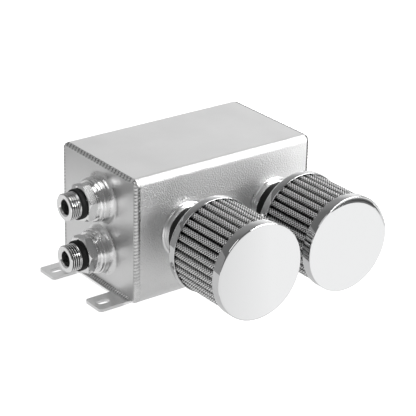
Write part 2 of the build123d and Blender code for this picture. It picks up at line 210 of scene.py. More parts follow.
# Ports
THREAD_R = 10.4775 * MM
THREAD_PITCH = 1.814 * MM
THREAD_DEPTH = 1.16 * MM
THREAD_SLOPE = 1.35
THREAD_CREST = 0.25
THREAD_RUN_OUT = 0.5
THREAD_SHADING = 1.5
UNION_BORE_R = 5.85 * MM
UNION_MOUTH_WIDER = 1.2 * MM
UNION_MOUTH_DEPTH = 1.0 * MM
UNION_BEVEL = 0.6 * MM
UNION_GROOVE_R = 9.7 * MM
UNION_FLATS = 27.0 * MM
UNION_TURNS = {"upper": radians(-45), "lower": radians(-49)}
PORT_SEAL_R = 14.3 * MM
PORT_RING_R = 11.8 * MM
PORT_RING_EDGE = 1.2 * MM
BUNG_GAP = 0.02 * MM
BUNG_NECK_R = 15.5 * MM
BUNG_NECK = 4.1 * MM
BUNG_COLLAR_R = 17.4 * MM
BUNG_COLLAR_END = 7.9 * MM
BUNG_NOSE_R = 16.6 * MM
BUNG_BEVEL = 0.8 * MM

# Brushed welds round the bosses
PORT_WELD_LEG = 5.3 * MM
SPIGOT_WELD_LEG = 1.8 * MM
DRAIN_WELD_LEG = 2.4 * MM
FLARE_TOP = 0.7 * MM
FLARE_SUNK = 0.3 * MM
FLARE_START = 0.1 * MM
FLARE_RIPPLE = 0.05 * MM
FLARE_LEAN = 40

# Spigots and filters
SPIGOT_BOSS_R = 20.5 * MM
SPIGOT_BOSS = 5.5 * MM
SPIGOT_BOSS_EDGE = 0.6 * MM
SPIGOT_R = 17.0 * MM
SPIGOT_END_EDGE = 1.0 * MM
SPIGOT_BORE_R = 14.5 * MM
SPIGOT_REGISTER_R = 16.0 * MM
NECK_R = 21.0 * MM
NECK_EDGE = 0.8 * MM
NECK_BORE_R = 17.05 * MM
CHROME_WALL = 0.9 * MM
CHROME_EDGE_R = 1.3 * MM
CHROME_GAP = 0.2 * MM
CAP_CROWN = 0.35 * MM
CAP_EDGE_R = {"left": 2.2 * MM, "right": CHROME_EDGE_R}

# Sunk side of the right cap's rim
RIM_BAND = 3.3 * MM
RIM_BAND_SHAPE = 0.7
RIM_REACH = 2.2 * MM
RIM_WALL_REACH = 1.05 * CHROME_EDGE_R
RIM_SLOPE = 0.40
RIM_STEEPER = 0.6
RIM_SIDE = radians(66)
RIM_SPREAD = radians(56)

# Pleats
PLEAT_COUNT = 35
PLEAT_DEPTH = 7.8 * MM
CREST_HALF = 2.1 * MM
CREST_DROP = 0.3 * MM
CREST_CURVE = 6.0 * MM
SHOULDER_CURVE = 1.9 * MM
VALLEY_HALF = 0.25 * MM
VALLEY_CURVE = 0.5 * MM
PLEAT_BACKING = 0.6 * MM
WOBBLE = 0.12 * MM
WOBBLE_ALONG = 900
WOBBLE_AROUND = 7

# Weld beads on the tank, crowned halfway between their section's two directions
BEAD_FACING = pi / 4
BEAD_TAPER = 1.5 * MM
BEAD_THINNEST = 0.02
RIPPLE_PITCH = 2.7 * MM
TOP_PITCH = 3.8 * MM
RIPPLE_DEPTH = 0.60 * MM
RIPPLE_BOW = 0.3
RIPPLE_TWIST = 0.18
RIPPLE_WRAP = 0.4
UPRIGHT_RIPPLE = 0.55
SMOOTH_FOOT = 14 * MM
SMOOTH_FADE = 10 * MM
CORNER_OUT_R = 2.2 * MM
CORNER_END_R = 2.5 * MM
CORNER_BEND_R = 3.2 * MM
CORNER_IN = 2.3 * MM
CORNER_PAST = 0.6 * MM
END_PLATE = 2.5 * MM
FRONT_INWARD = 1.5 * MM
FRONT_WIDER = 0.7 * MM
FRONT_PROUD = 0.7 * MM
# Painted shade along one side of the right corner bead, up to this angle round its section, fading
# over the next
RIGHT_PAINTED_SHADE_TOE = radians(58)
PAINTED_SHADE_TOE_FADE = radians(12)
FOOT_BEAD_R = 2.3 * MM
FOOT_INSET = 1 * MM
SEAM_WIDER = 0.2 * MM

# Drain
DRAIN_THREAD_R = 7.0 * MM
DRAIN_PITCH = 1.5 * MM
DRAIN_THREAD_DEPTH = 0.85 * MM
DRAIN_TIP = 1.0 * MM
DRAIN_FLATS = 17.0 * MM
DRAIN_BUNG_R = 11.0 * MM
DRAIN_BUNG_EDGE = 0.6 * MM
DRAIN_BUNG_GAP = 0.05 * MM
DRAIN_BORE_EDGE = 0.2 * MM
DRAIN_REGISTER_R = 9.0 * MM
DRAIN_WASHER_R = 10.0 * MM
DRAIN_WASHER_GAP = 0.2 * MM


# Places in the frame

def middle(node):
    """Centre of a node's box."""
    low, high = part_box(node)
    return (low + high) / 2


def half_width(node):
    """Half of a node's size along X."""
    low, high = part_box(node)
    return (high.x - low.x) / 2


def seat_at(origin, across, outward):
    """Matrix that puts a piece's Z axis along outward, with the origin on the surface it leaves."""
    x_axis = Vector(across)
    z_axis = Vector(outward)
    turn = Matrix((x_axis, z_axis.cross(x_axis), z_axis)).transposed()
    return Matrix.Translation(origin) @ turn.to_4x4()


def outer_face(side, sign):
    """X of an end plate's outer face."""
    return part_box(f"{side}_end_plate")[0 if sign < 0 else 1].x


def end_seat(side, sign, node):
    """Seat of a node's piece on the outside of an end plate."""
    centre = middle(node)
    face = outer_face(side, sign)
    return seat_at(Vector((face, centre.y, centre.z)), (0, 1, 0), (sign, 0, 0))


def filter_seat(side):
    """Seat of a filter's spigot on the front of the tank."""
    centre = middle(f"{side}_filter_cap")
    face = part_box("tank_wrap")[0].y
    return seat_at(Vector((centre.x, face, centre.z)), (1, 0, 0), (0, -1, 0))


def reach(node, seat):
    """How far a node starts and ends along a seat's axis."""
    axis = seat.to_3x3().col[2]
    ends = [(corner - seat.translation).dot(axis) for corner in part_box(node)]
    return min(ends), max(ends)


def placed(points, matrix):
    """Array of points moved by a matrix."""
    matrix = np.array(matrix)
    return points @ matrix[:3, :3].T + matrix[:3, 3]


# Shapes

def rounded(points, closed=True):
    """Profile of (along, radius) points; a third value is the radius that rounds that corner."""
    result = []
    for index, point in enumerate(points):
        here = Vector(point[:2])
        corner = point[2] if len(point) > 2 else 0
        if not corner or (not closed and index in (0, len(points) - 1)):
            result.append(tuple(here))
            continue
        before = Vector(points[index - 1][:2]) - here
        after = Vector(points[(index + 1) % len(points)][:2]) - here
        wanted = corner / tan(before.angle(after) / 2)
        cut = min(wanted, LONGEST_CUT * before.length, LONGEST_CUT * after.length)
        start = here + before.normalized() * cut
        end = here + after.normalized() * cut
        for step in range(ROUND_STEPS + 1):
            share = step / ROUND_STEPS
            bent = (1 - share) ** 2 * start + 2 * share * (1 - share) * here + share ** 2 * end
            result.append(tuple(bent))
    return result


def around_axis(radii, angles, along):
    """Points about the Z axis: a row for each angle, a column for each place along."""
    return np.stack([
        radii * np.cos(angles)[:, None],
        radii * np.sin(angles)[:, None],
        np.broadcast_to(along, radii.shape),
    ], axis=-1)


def grid_mesh(name, points, loop_rows, across, along):
    """Mesh from rows of points that close into rings; across and along unroll it in metres."""
    row_count, column_count = points.shape[:2]
    row_ends = row_count if loop_rows else row_count - 1
    row, column = np.meshgrid(np.arange(row_ends), np.arange(column_count), indexing="ij")
    after_row = (row + 1) % row_count
    after_column = (column + 1) % column_count
    quads = np.stack([
        row * column_count + column,
        after_row * column_count + column,
        after_row * column_count + after_column,
        row * column_count + after_column,
    ], axis=-1).reshape(-1, 4)
    mesh = bpy.data.meshes.new(name)
    mesh.from_pydata(points.reshape(-1, 3).tolist(), [], quads.tolist())
    u = np.stack([across[row], across[row + 1], across[row + 1], across[row]], axis=-1)
    v = np.stack([along[column], along[column], along[column + 1], along[column + 1]], axis=-1)
    layer = mesh.uv_layers.new(name="surface")
    layer.data.foreach_set("uv", np.stack([u, v], axis=-1).reshape(-1).astype(np.float32))
    return mesh


def finished(name, mesh, slot, body, *nodes, look=None):
    """Cleaned and shaded object from a mesh, riding on its body in place of CAD nodes."""
    tidy = bmesh.new()
    tidy.from_mesh(mesh)
    bmesh.ops.remove_doubles(tidy, verts=tidy.verts, dist=SAME_POINT)
    bmesh.ops.recalc_face_normals(tidy, faces=tidy.faces)
    tidy.to_mesh(mesh)
    tidy.free()
    mesh.shade_smooth()
    mesh.set_sharp_from_angle(angle=SHARP_ANGLE)
    piece = bpy.data.objects.new(name, mesh)
    bpy.context.scene.collection.objects.link(piece)
    mesh.materials.append(MATERIALS[look or slot])
    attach(piece, body)
    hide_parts(*nodes)


def turned_mesh(name, profile, seat, segments=TURNED_SEGMENTS, radius_at=None):
    """Solid of revolution about the seat's axis from a closed profile of (along, radius)."""
    along, radius = np.array(profile).T
    angles = np.arange(segments) * 2 * pi / segments
    radii = np.broadcast_to(radius, (segments, len(profile))).copy()
    if radius_at:
        radii = radius_at(angles[:, None], along[None, :], radii)
    points = placed(around_axis(radii, angles, along), seat)
    steps = np.hypot(np.diff(np.append(along, along[0])), np.diff(np.append(radius, radius[0])))
    length = np.concatenate([[0], np.cumsum(steps)])
    turn = np.arange(segments + 1) * 2 * pi / segments * radius.max()
    return grid_mesh(name, points, True, turn, length)


def turned_piece(name, corners, seat, slot, body, node, segments=TURNED_SEGMENTS):
    """Plain solid of revolution from its profile's corners."""
    mesh = turned_mesh(name, rounded(corners), seat, segments)
    finished(name, mesh, slot, body, node)


def plain_ring(name, seat, inner_r, outer_r, edge_r, slot, body, node):
    """Ring as long as its CAD node, with its outer edges rounded."""
    back, front = reach(node, seat)
    corners = [(back, inner_r), (back, outer_r, edge_r), (front, outer_r, edge_r), (front, inner_r)]
    turned_piece(name, corners, seat, slot, body, node)


def mark_painted_shade(mesh, depths):
    """Stores a depth of 0 to 1 on each point, for the material to darken as painted shade."""
    groove = mesh.attributes.new("groove", "FLOAT", "POINT")
    groove.data.foreach_set("value", np.asarray(depths, dtype=np.float32).reshape(-1))


def stacked_ripple(phase):
    """Height of stacked weld ripples, 0 in the sharp valleys and 1 on the round crests."""
    part = phase - np.floor(phase)
    return 1 - (2 * part - 1) ** 2


# Shader helpers

def add(tree, kind, inputs=None, **settings):
    """Node with its settings, and its inputs as numbers or links."""
    made = tree.nodes.new(kind)
    for key, value in settings.items():
        setattr(made, key, value)
    for key, value in (inputs or {}).items():
        if isinstance(value, bpy.types.NodeSocket):
            tree.links.new(value, made.inputs[key])
        else:
            made.inputs[key].default_value = value
    return made


def blank(name, **values):
    """Material with its shader's uniform values set."""
    material = bpy.data.materials.new(name)
    material.use_nodes = True
    shader = material.node_tree.nodes["Principled BSDF"]
    for key, value in values.items():
        shader.inputs[key.replace("_", " ")].default_value = value
    return material, material.node_tree, shader


def maths(tree, operation, *values, **settings):
    """Result of a calculation on one or two values."""
    inputs = dict(enumerate(values))
    return add(tree, "ShaderNodeMath", inputs, operation=operation, **settings).outputs[0]


def times(tree, first, second):
    """Product of two values."""
    return maths(tree, "MULTIPLY", first, second)


def dot(tree, place, direction):
    """How far a place lies along a direction."""
    inputs = {0: place, 1: direction}
    return add(tree, "ShaderNodeVectorMath", inputs, operation="DOT_PRODUCT").outputs["Value"]


def wave(tree, value, pitch):
    """Sine of a length, with one wave each pitch."""
    return maths(tree, "SINE", times(tree, value, 2 * pi / pitch))


def spots(tree, coords, size, detail=2.0, roughness=0.5):
    """Noise whose features are about the given size, in the units of coords."""
    inputs = {"Vector": coords, "Scale": 1 / size, "Detail": detail, "Roughness": roughness}
    return add(tree, "ShaderNodeTexNoise", inputs).outputs["Fac"]


def between(tree, value, low, high, start=NOISE_LOW, end=NOISE_HIGH):
    """The value's span, from start to end, mapped on low to high."""
    inputs = {"Value": value, "From Min": start, "From Max": end, "To Min": low, "To Max": high}
    return add(tree, "ShaderNodeMapRange", inputs).outputs["Result"]


def faded(tree, share, first, last):
    """First value turning into the last as the share goes from 0 to 1."""
    return between(tree, share, first, last, 0, 1)


def grey(tree, value):
    """Neutral colour of a linked brightness."""
    inputs = {"Red": value, "Green": value, "Blue": value}
    return add(tree, "ShaderNodeCombineColor", inputs).outputs["Color"]


def mixed(tree, share, first, second):
    """First colour turning into the second; 6, 7 and 2 are a Mix node's sockets for colours."""
    inputs = {0: share, 6: first, 7: second}
    return add(tree, "ShaderNodeMix", inputs, data_type="RGBA").outputs[2]


def bumped(tree, shader, height, distance):
    """Bump from a height of 0 to 1, distance metres deep."""
    bump = add(tree, "ShaderNodeBump", {"Height": height, "Distance": distance, "Strength": 1.0})
    tree.links.new(bump.outputs["Normal"], shader.inputs["Normal"])


def shaded(tree, shader, shown, rough, height, distance):
    """Gives a shader its brightness, roughness and bump."""
    tree.links.new(grey(tree, shown), shader.inputs["Base Color"])
    tree.links.new(rough, shader.inputs["Roughness"])
    bumped(tree, shader, height, distance)


def place_of(tree):
    """Position in the row frame, in metres."""
    return add(tree, "ShaderNodeTexCoord").outputs["Object"]


def surface_of(tree):
    """Position on the unrolled surface, in metres."""
    return add(tree, "ShaderNodeUVMap", uv_map="surface").outputs["UV"]


def painted_shade_of(tree):
    """Share of painted shade stored on each point, 0 where there is none."""
    return add(tree, "ShaderNodeAttribute", attribute_name="groove").outputs["Fac"]


def facing_front(tree):
    """1 on faces towards the front, 0 on the top, the ends and the floor."""
    normal = add(tree, "ShaderNodeTexCoord").outputs["Normal"]
    toward = add(tree, "ShaderNodeSeparateXYZ", {"Vector": normal}).outputs["Y"]
    return maths(tree, "MULTIPLY", toward, -1.0, use_clamp=True)


# Materials

def sheet_aluminium(name, shade, grain_depth, front_only=False):
    """Satin sheet: fine sandy grain, cloudy brightness and slightly uneven polish; with front_only,
    painted shade darkens the faces towards the front.
    """
    material, tree, shader = blank(name, Metallic=1.0)
    place = place_of(tree)
    grain = spots(tree, place, SHEET_GRAIN, roughness=0.6)
    shown = between(tree, spots(tree, place, SHEET_CLOUD, detail=3.0), *shade)
    rough = between(tree, grain, *SHEET_ROUGH)
    if front_only:
        front = facing_front(tree)
        # Painted shade: faces towards the front are darkened
        shown = times(tree, shown, faded(tree, front, 1.0, FRONT_PAINTED_SHADE))
        rough = maths(tree, "ADD", rough, times(tree, front, FRONT_ROUGHER))
        grain = times(tree, grain, front)
    shaded(tree, shader, shown, rough, grain, grain_depth)
    return material


def turned_aluminium():
    """Machined bar: turning lines round the axis, a clean face and painted shade in the thread
    roots.
    """
    material, tree, shader = blank("turned_bar", Metallic=1.0)
    stretched = {"Vector": surface_of(tree), "Scale": TURNING_STRETCH}
    surface = add(tree, "ShaderNodeMapping", stretched).outputs["Vector"]
    lines = spots(tree, surface, TURNING_LINE)
    stain = spots(tree, place_of(tree), TURNED_STAIN, detail=3.0)
    # Painted shade: darker towards the thread roots
    dark = faded(tree, painted_shade_of(tree), 1.0, THREAD_ROOT_PAINTED_SHADE)
    shown = times(tree, between(tree, stain, *TURNED_SHADE), dark)
    rough = between(tree, lines, *TURNED_ROUGH)
    shaded(tree, shader, shown, rough, lines, TURNING_LINE_DEPTH)
    return material


def weld_metal():
    """Cast-looking bead metal with a bright skin, small pits and painted shade in its ripple
    valleys.
    """
    material, tree, shader = blank("bead_metal", Metallic=1.0)
    place = place_of(tree)
    pits = spots(tree, place, BEAD_PIT, detail=3.0)
    tint = spots(tree, place, BEAD_TINT)
    # Painted shade: darker in the ripple valleys
    dark = faded(tree, painted_shade_of(tree), 1.0, BEAD_VALLEY_PAINTED_SHADE)
    shown = times(tree, between(tree, tint, *BEAD_SHADE), dark)
    rough = between(tree, pits, *BEAD_ROUGH)
    shaded(tree, shader, shown, rough, pits, BEAD_PIT_DEPTH)
    return material


def brushed_weld():
    """Bead that was brushed smooth round a boss."""
    material, tree, shader = blank("brushed_bead", Metallic=1.0)
    place = place_of(tree)
    tint = spots(tree, place, BRUSHED_TINT)
    shown = between(tree, tint, *BRUSHED_SHADE)
    rough = between(tree, tint, *BRUSHED_ROUGH)
    shaded(tree, shader, shown, rough, spots(tree, place, BRUSHED_DENT), FAINT_BUMP)
    return material


def chrome():
    """Plated steel, almost a mirror, with faint polishing haze."""
    material, tree, shader = blank("chrome_plate", Metallic=1.0, Base_Color=CHROME_COLOUR)
    place = place_of(tree)
    haze = spots(tree, place, CHROME_HAZE, detail=4.0)
    tree.links.new(between(tree, haze, *CHROME_ROUGH), shader.inputs["Roughness"])
    bumped(tree, shader, spots(tree, place, CHROME_DENT, detail=1.0), FAINT_BUMP)
    return material


def black_rubber():
    """Moulded black rubber with a matt, slightly dusty skin."""
    material, tree, shader = blank("black_rubber", Specular_IOR_Level=RUBBER_GLOSS)
    place = place_of(tree)
    dust = spots(tree, place, RUBBER_DUST, detail=4.0)
    shown = between(tree, dust, *RUBBER_SHADE)
    rough = between(tree, dust, *RUBBER_ROUGH)
    shaded(tree, shader, shown, rough, spots(tree, place, RUBBER_PORE), FAINT_BUMP)
    return material


def gauze_over_cloth():
    """Dark filter cloth under a woven wire gauze that runs diagonally over the pleats, with painted
    shade in the folds.
    """
    material, tree, shader = blank("gauze_on_cloth")
    surface = add(tree, "ShaderNodeSeparateXYZ", {"Vector": surface_of(tree)})
    across, along = surface.outputs["X"], surface.outputs["Y"]
    first = wave(tree, maths(tree, "ADD", across, along), GAUZE_PITCH)
    second = wave(tree, maths(tree, "SUBTRACT", across, along), GAUZE_PITCH)
    over = maths(tree, "MAXIMUM", first, second)
    under = times(tree, first, second)
    wire = between(tree, over, 0.0, 1.0, *WIRE_EDGE)
    fuzz = spots(tree, place_of(tree), CLOTH_FUZZ)
    cloth_colour = grey(tree, between(tree, fuzz, *CLOTH_SHADE))
    wire_colour = grey(tree, between(tree, fuzz, *WIRE_SHADE))
    colour = mixed(tree, wire, cloth_colour, wire_colour)
    # Painted shade: darker deeper in the folds
    fold = between(tree, painted_shade_of(tree), 1.0, FOLD_PAINTED_SHADE, FOLD_SHADE_START, 1)
    scaled = {0: colour, "Scale": fold}
    shown = add(tree, "ShaderNodeVectorMath", scaled, operation="SCALE").outputs[0]
    tree.links.new(shown, shader.inputs["Base Color"])
    tree.links.new(faded(tree, wire, 0.0, WIRE_METALLIC), shader.inputs["Metallic"])
    tree.links.new(faded(tree, wire, CLOTH_ROUGH, WIRE_ROUGH), shader.inputs["Roughness"])
    bumped(tree, shader, maths(tree, "ADD", over, under), GAUZE_DEPTH)
    return material


def plain_steel(name, shade, rough):
    """Steel with a light drawn grain."""
    material, tree, shader = blank(name, Metallic=1.0)
    place = place_of(tree)
    stain = spots(tree, place, STEEL_STAIN, detail=3.0)
    shown = between(tree, stain, *shade)
    uneven = between(tree, stain, rough, rough + STEEL_ROUGHER)
    shaded(tree, shader, shown, uneven, spots(tree, place, STEEL_GRAIN), FAINT_BUMP)
    return material


MATERIALS = {
    "sheet_aluminium": sheet_aluminium("satin_sheet", PLAIN_SHADE, PLAIN_GRAIN),
    "turned_aluminium": turned_aluminium(),
    "weld_metal": weld_metal(),
    "brushed_weld": brushed_weld(),
    "chrome": chrome(),
    "black_rubber": black_rubber(),
    "filter_cloth": gauze_over_cloth(),
    "screen_steel": plain_steel("screen_steel", shade=(0.45, 0.60), rough=0.35),
    "plated_steel": plain_steel("plated_steel", shade=(0.62, 0.72), rough=0.20),
    "soft_washer": plain_steel("soft_washer", shade=(0.66, 0.76), rough=0.30),
}


def dress_cad_nodes():
    """Each CAD node that stays in view takes its slot's material; the wrap's sheet is grainier,
    with painted shade on its front.
    """
    wrap_sheet = sheet_aluminium("grainy_sheet", WRAP_SHADE, WRAP_GRAIN, front_only=True)
    for entry in frame["record"]["subparts"]:
        is_wrap = entry["node"] == "tank_wrap"
        material = wrap_sheet if is_wrap else MATERIALS[entry["material_slot"]]
        for place in frame["nodes"][entry["node"]].material_slots:
            place.material = material


# Hexagons and threads

def hexagon_r(angles, flats):
    """Radius of a hexagon with a corner at angle 0."""
    part = (angles + pi / 6) % (pi / 3) - pi / 6
    return flats / 2 / np.cos(pi / 6 - np.abs(part))


def hex_stations(back, front, flats):
    """Stations along a hexagon with its corners turned off at 30 degrees."""
    half = flats / 2
    rise = half / cos(pi / 6) - half
    bevel = rise * tan(pi / 6)
    shares = [step / HEX_STEPS for step in range(HEX_STEPS + 1)]
    opening = [(back + bevel * share, half + rise * share) for share in shares]
    closing = [(front - bevel * share, half + rise * share) for share in reversed(shares)]
    return opening + closing


def cut_hexagon(angles, radii, inside, flats):
    """Radii with a hexagon's flats cut where inside is true."""
    return np.where(inside, np.minimum(radii, hexagon_r(angles, flats)), radii)


def thread_stations(start, end, pitch, radius):
    """Evenly spaced stations along a thread."""
    count = int((end - start) / pitch * THREAD_STEPS)
    return [(start + (end - start) * step / count, radius) for step in range(count + 1)]


def threaded(angles, along, radii, start, end, pitch, depth):
    """Radii with a helical thread cut in between start and end."""
    phase = along / pitch - angles / (2 * pi)
    ridge = np.abs(2 * (phase - np.floor(phase)) - 1)
    cut = np.clip(THREAD_SLOPE * ridge - THREAD_CREST, 0, 1)
    fade_in = np.clip((along - start) / pitch, 0, 1)
    fade_out = np.clip((end - along) / (THREAD_RUN_OUT * pitch), 0, 1)
    return radii - depth * cut * (fade_in * fade_out)


def mark_thread(mesh, seat, start, end):
    """Stores how deep each point lies in the thread, 1 at the root, for the painted shade in the
    roots.
    """
    points = np.empty(len(mesh.vertices) * 3)
    mesh.vertices.foreach_get("co", points)
    local = placed(points.reshape(-1, 3), seat.inverted())
    radius = np.hypot(local[:, 0], local[:, 1])
    depth = np.clip((THREAD_R - radius) / THREAD_DEPTH, 0, 1)
    outside = radius > UNION_GROOVE_R - THREAD_DEPTH
    inside = (local[:, 2] > start) & (local[:, 2] < end) & outside
    mark_painted_shade(mesh, np.where(inside, np.clip(THREAD_SHADING * depth, 0, 1), 0))


# Ports

def union(port, seat):
    """Hexagon union with its hose thread outside and a bevelled bore."""
    shank_end, tip = reach(f"{port}_port_union", seat)
    hex_back = reach(f"{port}_port_seal", seat)[1]
    hex_front, groove_end = reach(f"{port}_port_ring", seat)
    thread_end = tip - UNION_BEVEL
    profile = [
        (shank_end, UNION_BORE_R),
        (shank_end, THREAD_R - UNION_BEVEL),
        (shank_end + UNION_BEVEL, THREAD_R),
        (hex_back, THREAD_R),
    ]
    profile += hex_stations(hex_back, hex_front, UNION_FLATS)
    profile += rounded([
        (hex_front, UNION_FLATS / 2),
        (hex_front, UNION_GROOVE_R),
        (groove_end, UNION_GROOVE_R),
        (groove_end, THREAD_R),
    ], closed=False)
    profile += thread_stations(groove_end, thread_end, THREAD_PITCH, THREAD_R)
    profile += rounded([
        (thread_end, THREAD_R),
        (tip, THREAD_R - UNION_BEVEL, FINE_EDGE),
        (tip, UNION_BORE_R + UNION_MOUTH_WIDER, FINE_EDGE),
        (tip - UNION_MOUTH_DEPTH, UNION_BORE_R, FINE_EDGE),
        (shank_end, UNION_BORE_R),
    ], closed=False)

    def radius_at(angles, along, radii):
        in_hex = (along >= hex_back) & (along <= hex_front) & (radii > UNION_FLATS / 2)
        radii = cut_hexagon(angles, radii, in_hex, UNION_FLATS)
        in_thread = (along > groove_end) & (along < thread_end) & (radii > UNION_GROOVE_R)
        fading_end = thread_end + THREAD_PITCH
        cut = threaded(angles, along, radii, groove_end, fading_end, THREAD_PITCH, THREAD_DEPTH)
        return np.where(in_thread, cut, radii)

    name = f"{port}_union"
    turned_seat = seat @ Matrix.Rotation(UNION_TURNS[port], 4, "Z")
    mesh = turned_mesh(name, profile, turned_seat, CHROME_SEGMENTS, radius_at)
    mark_thread(mesh, seat, groove_end, thread_end)
    finished(name, mesh, "turned_aluminium", "tank", f"{port}_port_union")


def bung(port, seat):
    """Weld bung with softened turned edges."""
    inside, front = reach(f"{port}_port_bung", seat)
    bore_r = THREAD_R + BUNG_GAP
    corners = [
        (inside, bore_r),
        (inside, BUNG_NECK_R),
        (BUNG_NECK, BUNG_NECK_R),
        (BUNG_NECK, BUNG_COLLAR_R, TURNED_EDGE),
        (BUNG_COLLAR_END, BUNG_COLLAR_R, TURNED_EDGE),
        (BUNG_COLLAR_END, BUNG_NOSE_R, TURNED_EDGE),
        (front - BUNG_BEVEL, BUNG_NOSE_R, TURNED_EDGE),
        (front, BUNG_NOSE_R - BUNG_BEVEL, TURNED_EDGE),
        (front, bore_r),
    ]
    turned_piece(f"{port}_bung", corners, seat, "turned_aluminium", "tank", f"{port}_port_bung")


def flared_weld(name, seat, inner_r, leg, height, node):
    """Hollow fillet bead round a boss, with soft ripples."""
    profile = [(0.0, inner_r - FLARE_SUNK), (height, inner_r - FLARE_SUNK)]
    for step in range(FLARE_STEPS + 1):
        turn = pi / 2 * step / FLARE_STEPS
        radius = inner_r + FLARE_TOP + (leg - FLARE_TOP) * (1 - cos(turn))
        profile.append((height * (1 - sin(turn)), radius))

    def radius_at(angles, along, radii):
        count = round(2 * pi * inner_r / RIPPLE_PITCH)
        ripple = stacked_ripple(angles * count / (2 * pi) + FLARE_LEAN * along)
        return radii + np.where(radii > inner_r + FLARE_START, (ripple - 1) * FLARE_RIPPLE, 0)

    mesh = turned_mesh(name, profile, seat, CHROME_SEGMENTS, radius_at)
    finished(name, mesh, "weld_metal", "tank", node, look="brushed_weld")


def port_seal(port, seat):
    """Sealing ring between the bung and the hexagon."""
    tags = ("turned_aluminium", "tank", f"{port}_port_seal")
    plain_ring(f"{port}_seal", seat, THREAD_R, PORT_SEAL_R, SOFT_EDGE, *tags)


def port_ring(port, seat):
    """Black rubber ring in the union's groove."""
    tags = ("black_rubber", "tank", f"{port}_port_ring")
    plain_ring(f"{port}_ring", seat, UNION_GROOVE_R, PORT_RING_R, PORT_RING_EDGE, *tags)


def port_pieces(port):
    """Everything that shows on one port."""
    seat = end_seat("left", -1, f"{port}_port_bung")
    bung(port, seat)
    union(port, seat)
    flared_weld(f"{port}_flare", seat, BUNG_NECK_R, PORT_WELD_LEG, BUNG_NECK, f"{port}_port_weld")
    port_seal(port, seat)
    port_ring(port, seat)


# Spigots and filters

def spigot(side, seat):
    """Turned spigot that the rubber neck grips."""
    inside, end = reach(f"{side}_spigot", seat)
    corners = [
        (inside, SPIGOT_BORE_R),
        (inside, SPIGOT_REGISTER_R),
        (0, SPIGOT_REGISTER_R),
        (0, SPIGOT_BOSS_R),
        (SPIGOT_BOSS, SPIGOT_BOSS_R, SPIGOT_BOSS_EDGE),
        (SPIGOT_BOSS, SPIGOT_R),
        (end, SPIGOT_R, SPIGOT_END_EDGE),
        (end, SPIGOT_BORE_R, SOFT_EDGE),
    ]
    turned_piece(f"{side}_spigot_tube", corners, seat, "turned_aluminium", "tank", f"{side}_spigot")


def neck(side, seat):
    """Rubber neck and its disc."""
    node, body = f"{side}_filter_neck", f"{side}_filter"
    back, front = reach(node, seat)
    disc_back = reach(f"{side}_filter_base_ring", seat)[0] + CHROME_WALL
    disc_r = half_width(node)
    corners = [
        (back, NECK_BORE_R, FINE_EDGE),
        (back, NECK_R, NECK_EDGE),
        (disc_back, NECK_R),
        (disc_back, disc_r),
        (front, disc_r),
        (front, NECK_BORE_R),
    ]
    turned_piece(f"{side}_neck", corners, seat, "black_rubber", body, node)


def chrome_ring(side, seat):
    """Pressed chrome cup round the base, open for the neck."""
    node, body = f"{side}_filter_base_ring", f"{side}_filter"
    back, front = reach(node, seat)
    outer_r = half_width(node)
    corners = [
        (back, NECK_R + CHROME_GAP, FINE_EDGE),
        (back, outer_r, CHROME_EDGE_R),
        (front, outer_r, SOFT_EDGE),
        (front, outer_r - CHROME_WALL, SOFT_EDGE),
        (back + CHROME_WALL, outer_r - CHROME_WALL, SOFT_EDGE),
        (back + CHROME_WALL, NECK_R + CHROME_GAP, FINE_EDGE),
    ]
    turned_piece(f"{side}_base", corners, seat, "chrome", body, node, CHROME_SEGMENTS)


def chrome_cap(side, seat):
    """Pressed chrome cup over the outer end, with a faint crown."""
    node, body = f"{side}_filter_cap", f"{side}_filter"
    back, front = reach(node, seat)
    outer_r = half_width(node)
    flat_r = outer_r - CAP_EDGE_R[side]
    crown = []
    for step in range(CROWN_STEPS + 1):
        radius = flat_r * step / CROWN_STEPS
        crown.append((front - CAP_CROWN * (radius / flat_r) ** 2, radius))
    wall = rounded([
        crown[-1],
        (front - CAP_CROWN, outer_r, CAP_EDGE_R[side]),
        (back, outer_r, SOFT_EDGE),
        (back, outer_r - CHROME_WALL, SOFT_EDGE),
        (front - CAP_CROWN - CHROME_WALL, outer_r - CHROME_WALL, SOFT_EDGE),
        (front - CHROME_WALL, 0.0),
    ], closed=False)
    profile = crown + wall[1:]
    if side == "right":
        profile = finer_rim(profile, flat_r)
    mesh = turned_mesh(f"{side}_cap", profile, seat, CHROME_SEGMENTS)
    if side == "right":
        sink_rim(mesh, seat, front, flat_r)
    finished(f"{side}_cap", mesh, "chrome", body, node)


def finer_rim(profile, flat_r):
    """Profile with extra rings of points where the rim is going to be sunk."""
    result = []
    for index, (along, radius) in enumerate(profile):
        result.append((along, radius))
        next_along, next_radius = profile[(index + 1) % len(profile)]
        if index < CROWN_STEPS and next_radius > flat_r - RIM_BAND:
            for step in range(1, RIM_STEPS):
                share = step / RIM_STEPS
                place = along + (next_along - along) * share
                result.append((place, radius + (next_radius - radius) * share))
    return result


def sink_rim(mesh, seat, front, flat_r):
    """Pushes the front edge in on one side, as on a cap that was pressed on unevenly."""
    inverse = seat.inverted()
    axis = seat.to_3x3().col[2]
    for vertex in mesh.vertices:
        place = inverse @ vertex.co
        radius = hypot(place.x, place.y)
        if place.z < front - RIM_REACH or radius < flat_r - RIM_BAND:
            continue
        turn = (atan2(place.y, place.x) - RIM_SIDE + pi) % (2 * pi) - pi
        share = max(0.0, cos(pi / 2 * min(1.0, abs(turn) / RIM_SPREAD)))
        band = RIM_BAND * share ** RIM_BAND_SHAPE
        depth = max(0.0, min(radius, flat_r) - flat_r + band)
        if place.z > front - CAP_CROWN - RIM_WALL_REACH:
            vertex.co -= axis * depth * (RIM_SLOPE + RIM_STEEPER * max(0.0, -turn))


